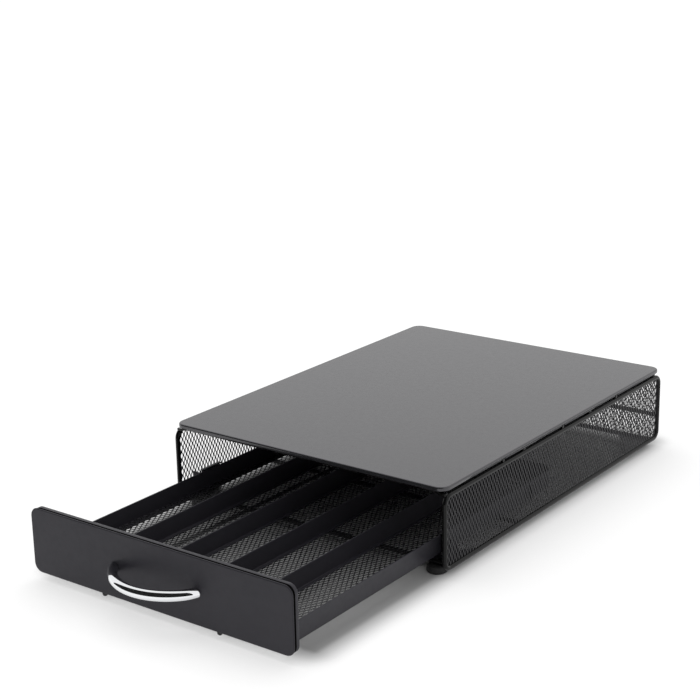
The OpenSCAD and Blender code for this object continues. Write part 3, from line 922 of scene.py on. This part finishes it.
def stage_floor():
    """A table that runs on past the horizon and shows white, but for the object's shadow. Near and
    under the object that shadow is partly painted shade: the table's seen tone is darker under it,
    and the glow that lifts it to white is left out near it.
    """
    half = TABLE_HALF
    corners = [(-half, -half, 0), (half, -half, 0), (half, half, 0), (-half, half, 0)]
    obj, tree, shader = matt_sheet("table_top", corners, "white_table")
    seen = in_sight(tree)
    place = add(tree, "SeparateXYZ")
    tree.links.new(tree.nodes.new("ShaderNodeTexCoord").outputs["Object"], place.inputs[0])
    distance = footprint_distance(tree, place.outputs["X"], place.outputs["Y"])
    # Painted shade: the table's seen tone is darker under the object, TABLE_PAINTED_SHADE giving
    # way to TABLE_SEEN over UNDER_REACH.
    seen_with_painted_shade = add(tree, "Mix", A=TABLE_PAINTED_SHADE, B=TABLE_SEEN)
    tree.links.new(smooth_step(tree, distance, *UNDER_REACH), seen_with_painted_shade.inputs["Factor"])
    white = add(tree, "Mix", A=TABLE)
    tree.links.new(seen, white.inputs["Factor"])
    tree.links.new(seen_with_painted_shade.outputs["Result"], white.inputs["B"])
    tree.links.new(white.outputs["Result"], shader.inputs["Base Color"])
    # The glow that lifts the table to white is left out near and under the object, which paints
    # shade there.
    past_painted_shade = smooth_step(tree, distance, *LIFT_REACH)
    lift = maths(tree, "MULTIPLY", maths(tree, "MULTIPLY", seen, past_painted_shade), TABLE_LIFT)
    shader.inputs["Emission Color"].default_value = (1, 1, 1, 1)
    tree.links.new(lift, shader.inputs["Emission Strength"])


def dark_card():
    """A dark card ahead of the object, which only gloss shows, before the white background. It
    gives chrome its dark band, and darkens the other glossy pieces too."""
    x0, x1 = CARD_X
    corners = [(x0, CARD_Y, 0), (x1, CARD_Y, 0), (x1, CARD_Y, CARD_TOP), (x0, CARD_Y, CARD_TOP)]
    obj, tree, shader = matt_sheet("dark_card", corners, "card_black")
    shader.inputs["Base Color"].default_value = CARD_TONE
    obj.visible_camera = False
    obj.visible_diffuse = False
    obj.visible_transmission = False
    obj.visible_shadow = False


def studio_world():
    """Even white light before a white background."""
    world = bpy.data.worlds.new("studio")
    bpy.context.scene.world = world
    world.use_nodes = True
    tree = world.node_tree
    tree.nodes.clear()
    level = add(tree, "Mix", A=FILL, B=1.0)
    tree.links.new(in_sight(tree), level.inputs["Factor"])
    light = add(tree, "Background", Color=(1, 1, 1, 1))
    tree.links.new(level.outputs["Result"], light.inputs["Strength"])
    output = tree.nodes.new("ShaderNodeOutputWorld")
    tree.links.new(light.outputs[0], output.inputs["Surface"])


def sun():
    """A broad soft light from above and behind, on the left."""
    light = bpy.data.lights.new("sun", "SUN")
    light.angle = math.radians(SUN_SPREAD)
    light.energy = SUN_POWER
    obj = bpy.data.objects.new("sun", light)
    bpy.context.scene.collection.objects.link(obj)
    obj.rotation_euler = Vector(SUN_FROM).to_track_quat("Z", "Y").to_euler()
    obj.visible_glossy = False


def camera():
    """Looks down on the right front corner, level but for a slight roll."""
    azimuth, elevation, roll = (math.radians(a) for a in CAMERA_ANGLES)
    back = Vector((math.sin(azimuth) * math.cos(elevation),
                   -math.cos(azimuth) * math.cos(elevation), math.sin(elevation)))
    right = Vector((math.cos(azimuth), math.sin(azimuth), 0))
    up = back.cross(right)
    axes = (math.cos(roll) * right + math.sin(roll) * up,
            -math.sin(roll) * right + math.cos(roll) * up, back)
    x, y, z = CAMERA_PLACE
    place = Vector((x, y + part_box("top_plate")[0].y, z))
    data = bpy.data.cameras.new("camera")
    data.sensor_width = SENSOR
    data.lens = LENS
    obj = bpy.data.objects.new("camera", data)
    bpy.context.scene.collection.objects.link(obj)
    obj.matrix_world = Matrix([[*(axis[i] for axis in axes), place[i]] for i in range(3)]
                              + [[0, 0, 0, 1]])
    bpy.context.scene.camera = obj


stage_floor()
dark_card()
studio_world()
sun()
camera()
bpy.context.scene.view_settings.view_transform = "Standard"
